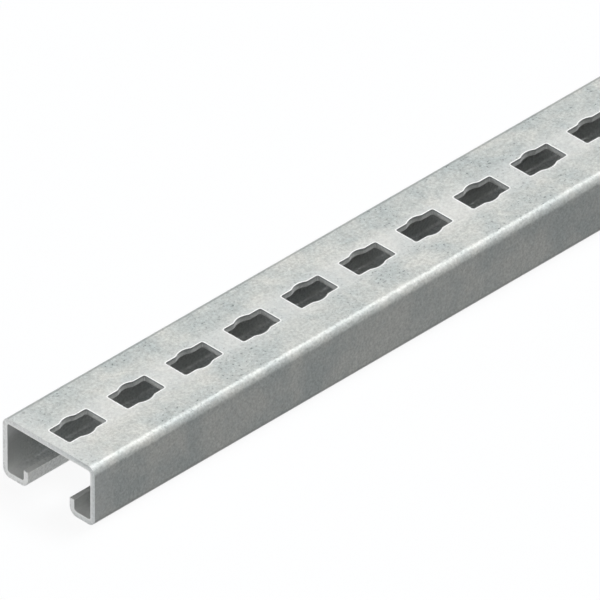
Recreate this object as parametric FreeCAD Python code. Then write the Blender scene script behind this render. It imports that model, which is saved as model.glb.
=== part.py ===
"""Slotted anchor channel: one C-section, cold-rolled from steel strip and galvanised.

The strip is folded into a back, two side walls, two flanges and two lips that
turn up inside, so that a channel nut can slide along behind the mouth. A row
of slots is punched through the back. Each slot is straight-sided, with a round
bolt hole through its middle.

Millimetres. X runs along the channel, Y across it and Z up. The channel lies
mouth down, and its origin is the middle of the surface that it rests on.
"""

import FreeCAD, Part
import math
import os

# Rolled section
length = 500.0  # cut length
width = 40.0  # across the back, outside
height = 22.0  # from the flanges to the back, outside
sheet = 2.0  # thickness of the strip
mouth = 18.0  # clear gap between the two lips
lip_height = 6.0  # from the outside of a flange to the free edge of its lip
bend_radius = 1.0  # inside radius of every bend

# Slots punched through the back
slot_pitch = 25.0  # from one slot's centre to the next
first_slot = 12.5  # from the cut end to the first slot's centre
slot_length = 16.0
slot_width = 9.0
slot_corner = 0.6  # radius in the four corners of a slot
bolt_hole = 11.0  # diameter of the round hole through the middle of a slot
hole_blend = 2.0  # radius where the round hole runs out into the sides of a slot

punch_overrun = 1.0  # how far the punch passes both faces of the back
touching = 1e-6  # lengths closer together than this are the same


def fold_points(depth):
    """Sharp corners of the folded strip's face that lies this deep below its outside."""
    lip = mouth / 2 + depth
    wall = width / 2 - depth
    flange = depth
    back = height - depth
    across = [
        (lip, lip_height),
        (lip, flange),
        (wall, flange),
        (wall, back),
        (-wall, back),
        (-wall, flange),
        (-lip, flange),
        (-lip, lip_height),
    ]
    return [FreeCAD.Vector(-length / 2, y, z) for y, z in across]


def bent_line(points, radius):
    """Edges along the points, straight between them and with a tangent arc round each bend."""
    edges = []
    start = points[0]
    for before, corner, after in zip(points, points[1:], points[2:]):
        arriving = (corner - before).normalize()
        leaving = (after - corner).normalize()
        half_turn = arriving.getAngle(leaving) / 2
        setback = radius * math.tan(half_turn)
        to_arc = radius / math.cos(half_turn) - radius
        arc_start = corner - arriving * setback
        arc_middle = corner + (leaving - arriving).normalize() * to_arc
        arc_end = corner + leaving * setback
        edges.append(Part.LineSegment(start, arc_start).toShape())
        edges.append(Part.Arc(arc_start, arc_middle, arc_end).toShape())
        start = arc_end
    edges.append(Part.LineSegment(start, points[-1]).toShape())
    return edges


def rolled_section():
    """The strip's cross-section at one end: its two faces, joined along the free edges of the lips."""
    outside = fold_points(0)
    inside = fold_points(sheet)
    first_edge = Part.LineSegment(inside[0], outside[0]).toShape()
    last_edge = Part.LineSegment(outside[-1], inside[-1]).toShape()
    outline = [
        first_edge,
        *bent_line(outside, bend_radius + sheet),
        last_edge,
        *reversed(bent_line(inside, bend_radius)),
    ]
    return Part.Face(Part.Wire(outline))


def upright_edges(solid, near):
    """The solid's edges that run along Z, of those whose X and Y satisfy near."""
    found = []
    for edge in solid.Edges:
        first, last = (vertex.Point for vertex in (edge.Vertexes[0], edge.Vertexes[-1]))
        upright = math.hypot(last.x - first.x, last.y - first.y) < touching
        if upright and first != last and near(abs(first.x), abs(first.y)):
            found.append(edge)
    return found


def slot_punch():
    """The solid that one slot is cut with, centred on the slot and as tall as the strip needs."""
    tall = sheet + 2 * punch_overrun
    low = height - sheet - punch_overrun
    straight = Part.makeBox(
        slot_length, slot_width, tall, FreeCAD.Vector(-slot_length / 2, -slot_width / 2, low)
    )
    rounded = Part.makeCylinder(bolt_hole / 2, tall, FreeCAD.Vector(0, 0, low))
    punch = straight.fuse(rounded).removeSplitter()
    at_corner = upright_edges(punch, lambda x, y: x > slot_length / 2 - touching)
    punch = punch.makeFillet(slot_corner, at_corner)
    at_hole = upright_edges(punch, lambda x, y: x < bolt_hole / 2 - touching)
    return punch.makeFillet(hole_blend, at_hole) if at_hole else punch


def slot_row():
    """One punch for each slot that fits the length, at even pitch from the first end."""
    room = length - 2 * first_slot
    count = math.floor((room + touching) / slot_pitch) + 1
    punch = slot_punch()
    row = []
    for n in range(count):
        copy = punch.copy()
        copy.translate(FreeCAD.Vector(first_slot + n * slot_pitch - length / 2, 0, 0))
        row.append(copy)
    return row


rail = rolled_section().extrude(FreeCAD.Vector(length, 0, 0))
channel = rail.cut(slot_row())

os.makedirs("parts", exist_ok=True)
channel.exportStep("parts/channel.step")
print("channel:", channel.ShapeType, len(channel.Solids), "solid, valid", channel.isValid())
print("volume", round(channel.Volume), "mm3, box", channel.BoundBox)
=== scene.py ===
import math

import bmesh
import bpy
from mathutils import Matrix, Vector


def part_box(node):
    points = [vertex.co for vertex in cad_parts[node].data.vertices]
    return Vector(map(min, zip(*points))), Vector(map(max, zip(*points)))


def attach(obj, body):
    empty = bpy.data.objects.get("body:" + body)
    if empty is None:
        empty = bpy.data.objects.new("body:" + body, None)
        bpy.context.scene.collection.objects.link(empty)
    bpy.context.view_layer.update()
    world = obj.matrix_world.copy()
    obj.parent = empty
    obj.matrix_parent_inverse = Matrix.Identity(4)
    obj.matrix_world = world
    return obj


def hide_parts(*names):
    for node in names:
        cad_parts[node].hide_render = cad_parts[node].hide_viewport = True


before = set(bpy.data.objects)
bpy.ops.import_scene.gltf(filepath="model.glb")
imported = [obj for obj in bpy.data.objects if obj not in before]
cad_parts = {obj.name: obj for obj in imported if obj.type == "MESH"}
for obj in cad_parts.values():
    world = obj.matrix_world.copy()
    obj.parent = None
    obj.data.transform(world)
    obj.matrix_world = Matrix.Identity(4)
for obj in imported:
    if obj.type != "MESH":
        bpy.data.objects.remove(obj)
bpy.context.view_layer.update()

MM = 0.001

# The channel
# One length of steel strip, punched with a row of slots while it is flat and then rolled into a C:
# a back, two side walls, two flanges, and two lips that turn up inside the mouth. It is dipped in
# molten zinc last, so the punched and sawn edges are coated and softened as well.

low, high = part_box("channel")
length, width, height = high - low
sheet = 2.0 * MM
mouth = 18.0 * MM
lip_height = 6.0 * MM
outer_bend = 3.0 * MM
bend_steps = 10

slot_pitch = 25.0 * MM
slot_length = 16.0 * MM
slot_width = 9.0 * MM
slot_corner = 0.6 * MM
bolt_hole = 11.0 * MM
hole_blend = 2.0 * MM
slot_margin = 1.9 * MM  # band of even faces round each slot
# Each ring of that band: its distance from the slot's edge, and how strong the painted highlight is there
highlight_rings = [(0.6 * MM, 0.3), (0.42 * MM, 1.0), (0.0, 1.0)]
corner_steps = 5  # in the outline of a slot
blend_steps = 5
hole_steps = 10  # in a quarter of the hole

rim_radius = 0.08 * MM  # zinc rounds the sheared edges to about this
rim_steps = 3
sawn_line = 0.4 * MM  # width of the painted highlight along the inner edge of a sawn end
sawn_highlight = 0.75  # and how strong that painted highlight is
bend_shade = 0.9  # how dark the painted shade on a bend is at its darkest
bend_shade_angle = 17  # degrees round the bend to there, from its upright start
bend_shade_reach = 26  # degrees from there to where the painted shade ends
upright = 0.01  # the normal of a wall rises or falls less than this
sharp = math.radians(60)  # turns above this are sheared edges, and every bend's step is below it
touching = 0.001 * MM


def verts_of(items):
    return [item for item in items if isinstance(item, bmesh.types.BMVert)]


def edges_of(items):
    return [item for item in items if isinstance(item, bmesh.types.BMEdge)]


def carry_on(mesh, end, step):
    """Add one straight step to a line of vertices, and return its new last vertex."""
    made = bmesh.ops.extrude_vert_indiv(mesh, verts=[end])["verts"][0]
    made.co += Vector(step)
    return made


def carry_round(mesh, end, centre, degrees, steps):
    """Add an arc to a line of vertices, and return its new last vertex."""
    made = bmesh.ops.spin(
        mesh, geom=[end], cent=centre, axis=(0, 0, 1), angle=math.radians(degrees), steps=steps
    )
    return verts_of(made["geom_last"])[0]


def slot_outline(mesh, margin):
    """Draw the outline of a slot about the origin, this much larger than the slot all round."""
    half_length = slot_length / 2 + margin
    half_width = slot_width / 2 + margin
    corner = slot_corner + margin
    hole = bolt_hole / 2 + margin
    blend = hole_blend - margin
    blend_y = half_width + blend
    blend_x = math.sqrt((hole + blend) ** 2 - blend_y ** 2)
    hole_from = math.degrees(math.atan2(blend_y, blend_x))
    end = mesh.verts.new((half_length, 0, 0))
    end = carry_on(mesh, end, (0, half_width - corner, 0))
    end = carry_round(mesh, end, (half_length - corner, half_width - corner, 0), 90, corner_steps)
    end = carry_on(mesh, end, (blend_x - end.co.x, 0, 0))
    end = carry_round(mesh, end, (blend_x, blend_y, 0), hole_from - 90, blend_steps)
    carry_round(mesh, end, (0, 0, 0), 90 - hole_from, hole_steps)
    for axis in "XY":
        quarter = [*mesh.verts, *mesh.edges]
        bmesh.ops.mirror(mesh, geom=quarter, matrix=Matrix(), merge_dist=touching, axis=axis)


def punched_back(mesh):
    """The outer face of the back over one pitch, flat, with its slot. Returns its two long edges."""
    slot_outline(mesh, slot_margin)
    slug = bmesh.ops.contextual_create(mesh, geom=mesh.edges[:])["faces"]
    margin = slot_margin
    # Each ring takes its share of the painted highlight round the slot
    for distance, bright in highlight_rings:
        bmesh.ops.inset_region(
            mesh, faces=slug, thickness=margin - distance, use_boundary=True, use_even_offset=True
        )
        margin = distance
        for vert in slug[0].verts:
            vert[mesh.verts.layers.float["painted_highlight"]] = bright
    outline = [edge for edge in mesh.edges if edge.is_boundary]
    bmesh.ops.delete(mesh, geom=slug, context="FACES_ONLY")
    flat_width = width - 2 * outer_bend
    plate = bmesh.ops.create_grid(mesh, x_segments=1, y_segments=1, size=0.5)["verts"]
    bmesh.ops.scale(mesh, verts=plate, vec=(slot_pitch, flat_width, 1))
    border = list({edge for vert in plate for edge in vert.link_edges})
    bmesh.ops.delete(mesh, geom=plate[0].link_faces[:], context="FACES_ONLY")
    bmesh.ops.triangle_fill(mesh, edges=outline + border, use_beauty=True, normal=(0, 0, 1))
    bmesh.ops.translate(mesh, verts=mesh.verts, vec=(0, 0, height))
    return [edge for edge in border if edge.verts[0].co.y * edge.verts[1].co.y > 0]


def rolled(mesh, edges, centre, degrees):
    """Roll the strip's edge round a bend, and return its new edge."""
    made = bmesh.ops.spin(
        mesh, geom=edges, cent=centre, axis=(1, 0, 0), angle=math.radians(degrees), steps=bend_steps
    )
    return edges_of(made["geom_last"])


def run_on(mesh, edges, step):
    """Carry the strip's edge straight on, and return its new edge."""
    made = bmesh.ops.extrude_edge_only(mesh, edges=edges)["geom"]
    bmesh.ops.translate(mesh, verts=verts_of(made), vec=step)
    return edges_of(made)


def rolled_side(mesh, edge, side):
    """Roll one side of the strip from the back to the lip's free edge; side is 1 or -1."""
    wall_bend = side * (width / 2 - outer_bend)
    lip_bend = side * (mouth / 2 + outer_bend)
    edge = rolled(mesh, edge, (0, wall_bend, height - outer_bend), -90 * side)
    edge = run_on(mesh, edge, (0, 0, 2 * outer_bend - height))
    edge = rolled(mesh, edge, (0, wall_bend, outer_bend), -90 * side)
    edge = run_on(mesh, edge, (0, lip_bend - wall_bend, 0))
    edge = rolled(mesh, edge, (0, lip_bend, outer_bend), -90 * side)
    run_on(mesh, edge, (0, 0, lip_height - outer_bend))


def in_section(y, z):
    """True for a place on the strip's inner faces, by where it lies across the channel and how high."""
    return abs(y) < width / 2 - sheet / 2 and sheet / 2 < z < height - sheet / 2


def bend_shading(sideways, along):
    """How much painted shade a place on a bend takes, by its two distances from the bend's centre."""
    turned = math.degrees(math.atan2(sideways, along))
    return bend_shade * max(0, 1 - abs(turned - bend_shade_angle) / bend_shade_reach)


strip = bmesh.new()
painted_highlight = strip.verts.layers.float.new("painted_highlight")  # painted highlight: 1 where a bright line is painted along edges and in corners
painted_shade = strip.verts.layers.float.new("painted_shade")  # painted shade: 1 where a dark line is painted along a sheared edge, and up to 1 on some bends
for edge in punched_back(strip):
    rolled_side(strip, [edge], math.copysign(1, edge.verts[0].co.y))
bmesh.ops.recalc_face_normals(strip, faces=strip.faces)
if max(strip.faces, key=lambda face: face.calc_center_median().z).normal.z < 0:
    bmesh.ops.reverse_faces(strip, faces=strip.faces)

one_pitch = strip.faces[:]
slots = round(length / slot_pitch)
for n in range(1, slots):
    copy = bmesh.ops.duplicate(strip, geom=one_pitch)["geom"]
    bmesh.ops.translate(strip, verts=verts_of(copy), vec=(n * slot_pitch, 0, 0))
bmesh.ops.translate(strip, verts=strip.verts, vec=((slot_pitch - length) / 2, 0, 0))
bmesh.ops.remove_doubles(strip, verts=strip.verts, dist=touching)
bmesh.ops.solidify(strip, geom=strip.faces, thickness=sheet)
outside, inside, punched, sawn, lit_lips = range(5)  # the materials' places on the piece
for face in strip.faces:
    middle = face.calc_center_median()
    if abs(middle.x) > length / 2 - touching:
        face.material_index = sawn
    elif abs(face.normal.z) < upright and middle.z > height - sheet and abs(middle.y) < bolt_hole / 2:
        face.material_index = punched
    # The lips' mouth sides take paler zinc, as painted light in the mouth's shade
    elif abs(middle.y) < mouth / 2 + sheet / 2 - touching and middle.z < lip_height - touching:
        face.material_index = lit_lips
    elif in_section(middle.y, middle.z):
        face.material_index = inside

ends = [face for face in strip.faces if face.material_index == sawn]
bmesh.ops.inset_region(
    strip, faces=ends, thickness=sawn_line, use_boundary=True, use_even_offset=True
)
# A painted highlight along the inner edges of the sawn ends
for vert in {vert for face in ends for vert in face.verts}:
    vert[painted_highlight] = sawn_highlight if in_section(vert.co.y, vert.co.z) else 0
sheared = [edge for edge in strip.edges if edge.calc_face_angle(0) > sharp]
rims = bmesh.ops.bevel(
    strip, geom=sheared, offset=rim_radius, offset_type="OFFSET", segments=rim_steps,
    profile=0.5, affect="EDGES", clamp_overlap=True, loop_slide=False, material=-1,
)
for face in rims["faces"]:
    middle = face.calc_center_median()
    in_mouth = abs(middle.y) < mouth / 2 - touching and middle.z < height - sheet / 2
    face.material_index = inside if in_mouth else outside
rounding = set(rims["faces"])
for vert in rims["verts"]:
    x, y, z = vert.co
    beside = {face.material_index for face in vert.link_faces if face not in rounding}
    from_slot_x = abs((x + length / 2) % slot_pitch - slot_pitch / 2) - slot_length / 2 + slot_corner
    from_slot_y = abs(y) - slot_width / 2 + slot_corner
    in_corner = abs(from_slot_x - from_slot_y) < slot_corner / 3 and from_slot_x > 0
    # On the sawn ends, a painted highlight along the inner edges and none along the outer ones
    if abs(x) > length / 2 - sheet:
        past_lip = abs(y) > mouth / 2 + sheet / 2 or z > lip_height
        vert[painted_highlight] = 1 if in_section(y, z) and past_lip else -1
    # On the slots, a painted highlight in the corners of the walls, and painted shade along their top edge
    elif punched in beside:
        vert[painted_highlight] = in_corner
        vert[painted_shade] = z > height - sheet / 2
    # Painted shade along the middle of the other rounded sheared edges
    elif not beside:
        vert[painted_shade] = 1

# Painted shade round the far upper bend and the two lower ones, darkest partway round each.
for vert in strip.verts:
    beyond = vert.co.y - width / 2 + outer_bend
    above = vert.co.z - height + outer_bend
    outward = abs(vert.co.y) - width / 2 + outer_bend
    below = outer_bend - vert.co.z
    for sideways, along in ((beyond, above), (below, outward)):
        on_bend = abs(math.hypot(sideways, along) - outer_bend) < touching
        if on_bend and sideways > 0 and along > 0:
            vert[painted_shade] = bend_shading(sideways, along)

channel_mesh = bpy.data.meshes.new("channel_finish")
strip.to_mesh(channel_mesh)
strip.free()
channel_mesh.shade_smooth()
channel = bpy.data.objects.new("channel_finish", channel_mesh)
bpy.context.scene.collection.objects.link(channel)
even_shading = channel.modifiers.new("even_shading", "WEIGHTED_NORMAL")
even_shading.keep_sharp = True
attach(channel, "root")
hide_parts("channel")


def shader_node(tree, kind, links=None, **settings):
    """Add a node to a material's tree; links and settings go to its sockets or its own settings."""
    node = tree.nodes.new(kind)
    for name, value in settings.items():
        setattr(node, name, value)
    for socket, value in (links or {}).items():
        if isinstance(value, bpy.types.NodeSocket):
            tree.links.new(value, node.inputs[socket])
        else:
            node.inputs[socket].default_value = value
    return node


def linear(hex_colour):
    """An sRGB hex colour as linear RGBA."""
    parts = [int(hex_colour[i:i + 2], 16) / 255 for i in (1, 3, 5)]
    return [*(c / 12.92 if c <= 0.04045 else ((c + 0.055) / 1.055) ** 2.4 for c in parts), 1]


# Sizes and colours that all the zinc has. Real grain is about half as wide, which is too fine to
# show, so it is drawn coarser. Clouds, pits and waves have about their real size.
cloud_size = 14.0 * MM
grain_size = 0.9 * MM
pit_size = 1.0 * MM
wave_size = 2.6 * MM
band_inner = 3 * MM  # the back is paler between its slots, from its middle line out to here,
band_outer = 10 * MM  # and plain from here on
band_pale = 0.36
wall_skin = 0.15 * MM  # depth below the side walls' faces that takes painted shade
# how much painted shade darkens the side walls
wall_shade = 0.22
# Paler zinc, for between the slots and for painted light near the ends, then the colours of the painted
# highlight and the painted shade
paler_zinc = "#eeefed"
highlight_zinc = "#fbfcfb"
shade_zinc = "#4c5456"


def zinc(
    name, pale, cool, dull, bare, roughness, wave_height,
    highlight_amount=0.0, shade_amount=0.0, lean=0.0, end_painted_light=0.3, end_reach=12 * MM,
):
    """Zinc out of the bath: clouds of pale and cool grey, with dull pits where dross stuck to it.
    bare is the share of bare metal in its skin, and lean makes the far side paler than the near one."""
    # Besides lean, the keyword arguments set how strong its painted highlight and painted shade are, and
    # how strong and how far reaching its painted light near the ends is.
    material = bpy.data.materials.new(name)
    material.use_nodes = True
    tree = material.node_tree
    surface = tree.nodes["Principled BSDF"]
    place = shader_node(tree, "ShaderNodeTexCoord").outputs["Object"]
    # The painted highlight and the painted shade, as the piece's attributes give them
    highlit = shader_node(tree, "ShaderNodeAttribute", attribute_name="painted_highlight").outputs["Fac"]
    shaded = shader_node(tree, "ShaderNodeAttribute", attribute_name="painted_shade").outputs["Fac"]

    # Clouds of pale and cool grey, with fine grain over them
    clouds = shader_node(
        tree, "ShaderNodeTexNoise",
        {"Vector": place, "Scale": 1 / cloud_size, "Detail": 4, "Roughness": 0.55, "Distortion": 0.3},
    )
    cloud = shader_node(
        tree, "ShaderNodeMapRange", {"Value": clouds.outputs["Fac"], "From Min": 0.355, "From Max": 0.645}
    )
    across = shader_node(tree, "ShaderNodeSeparateXYZ", {0: place})
    to_far_side = shader_node(
        tree, "ShaderNodeMapRange",
        {"Value": across.outputs["Y"], "From Min": -width / 2, "From Max": width / 2,
         "To Min": -lean, "To Max": lean},
    )
    cloud = shader_node(
        tree, "ShaderNodeMath", {0: cloud.outputs[0], 1: to_far_side.outputs[0]}, operation="ADD"
    )
    colour = shader_node(
        tree, "ShaderNodeMix", {0: cloud.outputs[0], 6: linear(cool), 7: linear(pale)}, data_type="RGBA"
    )
    grain = shader_node(
        tree, "ShaderNodeTexNoise",
        {"Vector": place, "Scale": 1 / grain_size, "Detail": 3, "Roughness": 0.7},
    )
    grain_light = shader_node(
        tree, "ShaderNodeMapRange",
        {"Value": grain.outputs["Fac"], "From Min": 0.25, "From Max": 0.75, "To Min": 0.7, "To Max": 1.3},
    )
    colour = shader_node(
        tree, "ShaderNodeMix", {0: 1.0, 6: colour.outputs[2], 7: grain_light.outputs[0]},
        data_type="RGBA", blend_type="MULTIPLY",
    )

    # Pits of dross, in the cool parts, and fewer of them on the side walls
    from_middle = shader_node(tree, "ShaderNodeVectorMath", {0: place}, operation="ABSOLUTE")
    from_middle = shader_node(tree, "ShaderNodeSeparateXYZ", {0: from_middle.outputs[0]})
    pits = shader_node(
        tree, "ShaderNodeTexNoise", {"Vector": place, "Scale": 1 / pit_size, "Detail": 1}
    )
    pit = shader_node(
        tree, "ShaderNodeMapRange", {"Value": pits.outputs["Fac"], "From Min": 0.62, "From Max": 0.7}
    )
    in_cool = shader_node(
        tree, "ShaderNodeMapRange",
        {"Value": clouds.outputs["Fac"], "From Min": 0.4, "From Max": 0.52, "To Min": 0.9, "To Max": 0.0},
    )
    pit = shader_node(
        tree, "ShaderNodeMath", {0: pit.outputs[0], 1: in_cool.outputs[0]}, operation="MULTIPLY"
    )
    off_walls = shader_node(
        tree, "ShaderNodeMapRange",
        {"Value": from_middle.outputs["Y"], "From Min": width / 2 - outer_bend, "From Max": width / 2,
         "To Min": 1.0, "To Max": 0.3},
    )
    pit = shader_node(
        tree, "ShaderNodeMath", {0: pit.outputs[0], 1: off_walls.outputs[0]}, operation="MULTIPLY"
    )
    colour = shader_node(
        tree, "ShaderNodeMix", {0: pit.outputs[0], 6: colour.outputs[2], 7: linear(dull)},
        data_type="RGBA",
    )

    # Paler zinc between the slots, painted light near the ends, and painted shade on the side walls
    among_slots = shader_node(
        tree, "ShaderNodeMapRange",
        {"Value": from_middle.outputs["Y"], "From Min": band_inner, "From Max": band_outer,
         "To Min": band_pale, "To Max": 0},
        interpolation_type="SMOOTHSTEP",
    )
    # Painted light near the ends: inside, where light comes in at the open ends, and outside, along the end
    # edges
    lit_by_end = shader_node(
        tree, "ShaderNodeMapRange",
        {"Value": from_middle.outputs["X"], "From Min": length / 2 - end_reach, "From Max": length / 2,
         "To Max": end_painted_light},
        interpolation_type="SMOOTHSTEP",
    )
    paler = shader_node(
        tree, "ShaderNodeMath", {0: among_slots.outputs[0], 1: lit_by_end.outputs[0]}, operation="MAXIMUM"
    )
    colour = shader_node(
        tree, "ShaderNodeMix", {0: paler.outputs[0], 6: colour.outputs[2], 7: linear(paler_zinc)},
        data_type="RGBA",
    )
    # Painted shade on the side walls
    on_wall = shader_node(
        tree, "ShaderNodeMapRange",
        {"Value": from_middle.outputs["Y"], "From Min": width / 2 - wall_skin, "From Max": width / 2,
         "To Max": wall_shade},
    )
    colour = shader_node(
        tree, "ShaderNodeMix", {0: on_wall.outputs[0], 6: colour.outputs[2], 7: linear(dull)},
        data_type="RGBA",
    )

    # Painted highlights along edges and in corners, and painted shade along edges and on bends
    for attribute, power, amount, shade in (
        (highlit, 2.0, highlight_amount, highlight_zinc), (shaded, 3.0, shade_amount, shade_zinc),
    ):
        near = shader_node(tree, "ShaderNodeMapRange", {"Value": attribute})
        near = shader_node(tree, "ShaderNodeMath", {0: near.outputs[0], 1: power}, operation="POWER")
        share = shader_node(tree, "ShaderNodeMath", {0: near.outputs[0], 1: amount}, operation="MULTIPLY")
        colour = shader_node(
            tree, "ShaderNodeMix", {0: share.outputs[0], 6: colour.outputs[2], 7: linear(shade)},
            data_type="RGBA",
        )
    tree.links.new(colour.outputs[2], surface.inputs["Base Color"])
    surface.inputs["Metallic"].default_value = bare

    # Shine that changes with the grain, and waves and grain in relief
    sheen = shader_node(
        tree, "ShaderNodeMapRange",
        {"Value": grain.outputs["Fac"], "From Min": 0.25, "From Max": 0.75,
         "To Min": roughness - 0.08, "To Max": roughness + 0.08},
    )
    tree.links.new(sheen.outputs[0], surface.inputs["Roughness"])
    waves = shader_node(
        tree, "ShaderNodeTexNoise",
        {"Vector": place, "Scale": 1 / wave_size, "Detail": 2, "Roughness": 0.6},
    )
    bump = shader_node(
        tree, "ShaderNodeBump", {"Height": waves.outputs["Fac"], "Strength": 1.0, "Distance": wave_height}
    )
    bump = shader_node(
        tree, "ShaderNodeBump",
        {"Height": grain.outputs["Fac"], "Strength": 1.0, "Distance": 0.4 * wave_height,
         "Normal": bump.outputs[0]},
    )
    tree.links.new(bump.outputs[0], surface.inputs["Normal"])
    channel.data.materials.append(material)


# Hot-dip zinc on the outside, left as it came from the bath and weathered a little: a matt grey skin
# with soft clouds and dull specks, and a silky gleam along the bends.
# On the outside it carries painted highlights round the slots, painted shade along edges, on the side walls
# and on bends, and painted light near the ends.
zinc(
    "hot_dip_zinc", pale="#d3d4cf", cool="#b9c0bf", dull="#6f7776", bare=0.1, roughness=0.39,
    wave_height=0.25 * MM, highlight_amount=1.0, shade_amount=0.9, lean=-0.12,
)
# The same zinc inside, where nothing has touched it: smooth, even and glossier. It is a little paler, as
# painted light that lifts its shade, and paler still near the ends, as painted light where light comes in.
zinc(
    "hot_dip_zinc_inside", pale="#d0d2d0", cool="#c6caca", dull="#a8aeae", bare=0.04, roughness=0.21,
    wave_height=0.02 * MM, end_painted_light=0.85, end_reach=14 * MM,
)
# Zinc over the sheared steel of the slots: rougher and plainer, with a painted highlight in its corners
# and painted shade along its top edge.
zinc(
    "zinc_on_punched_walls", pale="#d6d8d5", cool="#ced1d0", dull="#b0b6b5", bare=0.1, roughness=0.45,
    wave_height=0.2 * MM, highlight_amount=0.9, shade_amount=0.95,
)
# Zinc over the saw cut at both ends: paler than the rest, partly as painted light, with the blade's
# ripple under it, and a painted highlight along its inner edges.
zinc(
    "zinc_on_sawn_ends", pale="#eaebea", cool="#c6cbcc", dull="#a0a6a6", bare=0.15, roughness=0.45,
    wave_height=0.3 * MM, highlight_amount=1.0, lean=0.6,
)
# Zinc on the lips' mouth sides: pale, as painted light that lifts them in the mouth's shade, and smooth
# and nearer to bare metal.
zinc(
    "zinc_on_lips_painted_light", pale="#eaebe9", cool="#e2e5e4", dull="#c0c6c5", bare=0.25, roughness=0.35,
    wave_height=0.06 * MM,
)

# The floor and the light
# A plain white table that runs out past every view, under soft studio lamps. The camera and the zinc
# see table and backdrop as white, and the table keeps a light shadow.

floor_size = 60.0
floor_paint = linear("#505254")  # dim, so that little light comes back up from it
floor_white = 0.92  # what it shows besides, which makes it white where no shadow lies

floor_shape = bmesh.new()
bmesh.ops.create_grid(floor_shape, x_segments=1, y_segments=1, size=floor_size / 2)
floor_mesh = bpy.data.meshes.new("floor")
floor_shape.to_mesh(floor_mesh)
floor_shape.free()
floor = bpy.data.objects.new("floor", floor_mesh)
bpy.context.scene.collection.objects.link(floor)


def seen_directly(tree):
    """1 for rays of the camera and for those mirrored by or passing through a surface, else 0."""
    path = shader_node(tree, "ShaderNodeLightPath")
    seen = path.outputs["Is Camera Ray"]
    for kind in ("Is Glossy Ray", "Is Transmission Ray"):
        seen = shader_node(
            tree, "ShaderNodeMath", {0: seen, 1: path.outputs[kind]}, operation="MAXIMUM"
        ).outputs[0]
    return seen


table = bpy.data.materials.new("white_table")
table.use_nodes = True
tree = table.node_tree
tree.nodes.remove(tree.nodes["Principled BSDF"])
paint = shader_node(tree, "ShaderNodeBsdfDiffuse", {"Color": floor_paint})
white = shader_node(
    tree, "ShaderNodeMath", {0: seen_directly(tree), 1: floor_white}, operation="MULTIPLY"
)
glow = shader_node(
    tree, "ShaderNodeEmission", {"Color": (1, 1, 1, 1), "Strength": white.outputs[0]}
)
both = shader_node(tree, "ShaderNodeAddShader", {0: paint.outputs[0], 1: glow.outputs[0]})
tree.links.new(both.outputs[0], tree.nodes["Material Output"].inputs["Surface"])
floor.data.materials.append(table)

world = bpy.data.worlds.new("backdrop")
world.use_nodes = True
bpy.context.scene.world = world
tree = world.node_tree
background = tree.nodes["Background"]
background.inputs["Color"].default_value = (1, 1, 1, 1)
tree.links.new(seen_directly(tree), background.inputs["Strength"])


def add_sun(name, towards, share, spread, shadow=True):
    """Hang a studio lamp far away. towards points to it from the channel, share is the light it gives
    a face turned to it, of the light that shows a colour as written, and spread is its width in degrees."""
    lamp = bpy.data.lights.new(name, "SUN")
    lamp.energy = share * math.pi
    lamp.angle = math.radians(spread)
    lamp.use_shadow = shadow
    sun = bpy.data.objects.new(name, lamp)
    sun.rotation_mode = "QUATERNION"
    sun.rotation_quaternion = Vector(towards).to_track_quat("Z", "Y")
    bpy.context.scene.collection.objects.link(sun)


# Four lamps from above light the back, the bends and the near wall, and a broad one the near end. A
# weak one, without a shadow, finds the corners of the slots, and a low one lights each sawn end.
add_sun("bend_light", (0.577, -0.06, 0.8145), 0.23, 20)
add_sun("low_bend_light", (0.577, -0.468, 0.669), 0.12, 20)
add_sun("front_light", (0.1, -0.6, 0.79), 0.115, 30)
add_sun("far_light", (0.42, 0.0, 0.91), 0.42, 30)
add_sun("near_light", (-0.8, -0.3, 0.52), 0.21, 100)
add_sun("corner_light", (0.577, -0.3, 0.76), 0.016, 4, shadow=False)
add_sun("end_light", (-0.97, 0.24, 0.07), 0.4, 8)
add_sun("far_end_light", (0.97, 0.24, 0.07), 0.15, 8)

# The camera
# A very long lens, which comes close to the photograph's parallel lines: 45 degrees round from the
# near end and 35.26 degrees up, the corner view of a cube.

scene = bpy.context.scene
shot_width = 184.1 * MM
lens = 1700.0
sensor = 36.0
aim = Vector((-142.6, -0.92, 21.9)) * MM
towards_camera = Vector((-1, -1, 1)).normalized()
camera_data = bpy.data.cameras.new("camera")
camera_data.sensor_width = sensor
camera_data.lens = lens
camera = bpy.data.objects.new("camera", camera_data)
distance = shot_width * lens / sensor
camera.location = aim + towards_camera * distance
camera.rotation_mode = "QUATERNION"
camera.rotation_quaternion = towards_camera.to_track_quat("Z", "Y")
scene.collection.objects.link(camera)
scene.camera = camera
scene.view_settings.view_transform = "Standard"
